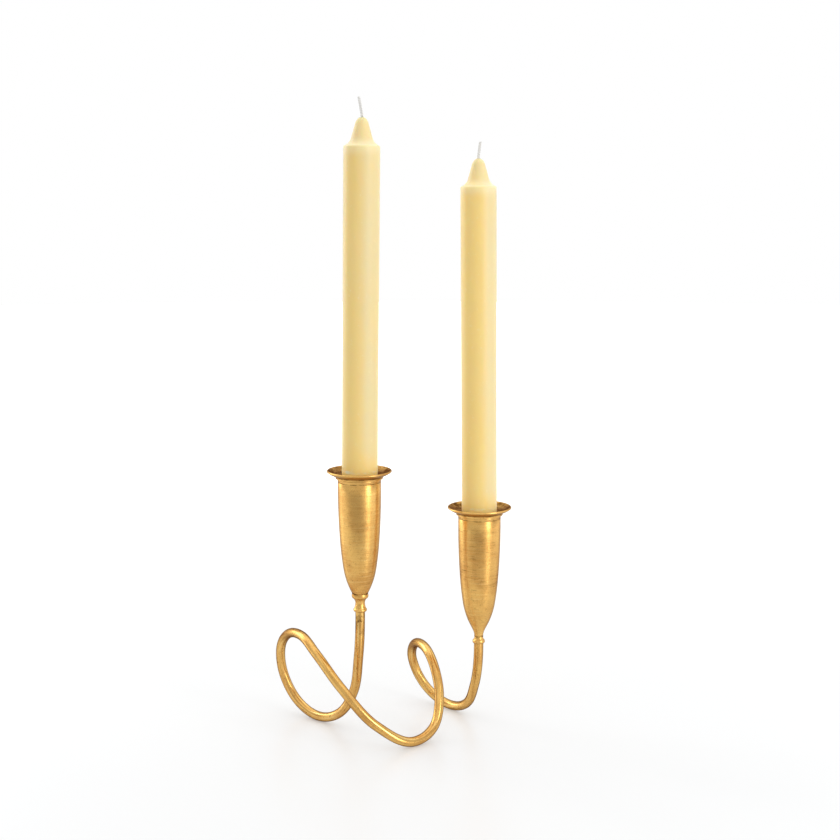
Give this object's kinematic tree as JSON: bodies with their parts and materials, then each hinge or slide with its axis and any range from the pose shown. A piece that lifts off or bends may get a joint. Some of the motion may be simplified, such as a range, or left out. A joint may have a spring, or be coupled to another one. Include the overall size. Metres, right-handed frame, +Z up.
{
  "type": "spiral candle holder",
  "caption": "Candle holder of bent round rod with left-handed curls that stands on three points and carries tulip cups with drip pans and straight candles.",
  "frame": {"origin": "on the floor, midway between the axes of the two cups", "axes": "+Z up, +X from the left cup towards the right cup, +Y to the back"},
  "size_m": [0.1521, 0.0981, 0.3955],
  "materials": {
    "gilt_brass": "antique gold leaf over brass, turned and hand-rubbed, worn to brown in places",
    "plated_steel": "zinc-plated steel fastener",
    "candle_wax": "pale ivory-yellow wax with a soft sheen, slightly translucent",
    "cotton_wick": "undyed braided cotton"
  },
  "bodies": {
    "holder": {"spiral_rod": "gilt_brass", "left_neck_collar": "gilt_brass", "left_candle_cup": "gilt_brass", "left_cup_washer": "plated_steel", "left_cup_nut": "plated_steel", "right_neck_collar": "gilt_brass", "right_candle_cup": "gilt_brass", "right_cup_washer": "plated_steel", "right_cup_nut": "plated_steel"},
    "left_pan": {"left_drip_pan": "gilt_brass"},
    "right_pan": {"right_drip_pan": "gilt_brass"},
    "left_taper": {"left_candle": "candle_wax", "left_wick": "cotton_wick"},
    "right_taper": {"right_candle": "candle_wax", "right_wick": "cotton_wick"}
  },
  "joints": [
    {"name": "left_candle_lift", "type": "slide", "parent": "holder", "child": "left_taper", "axis": [0.0121, 0, 0.9999], "range_m": [0, 0.05]},
    {"name": "right_candle_lift", "type": "slide", "parent": "holder", "child": "right_taper", "axis": [-0.008, 0, 1], "range_m": [0, 0.05]},
    {"name": "left_pan_lift", "type": "slide", "parent": "holder", "child": "left_pan", "axis": [0.0121, 0, 0.9999], "range_m": [0, 0.03]},
    {"name": "right_pan_lift", "type": "slide", "parent": "holder", "child": "right_pan", "axis": [-0.008, 0, 1], "range_m": [0, 0.03]}
  ]
}
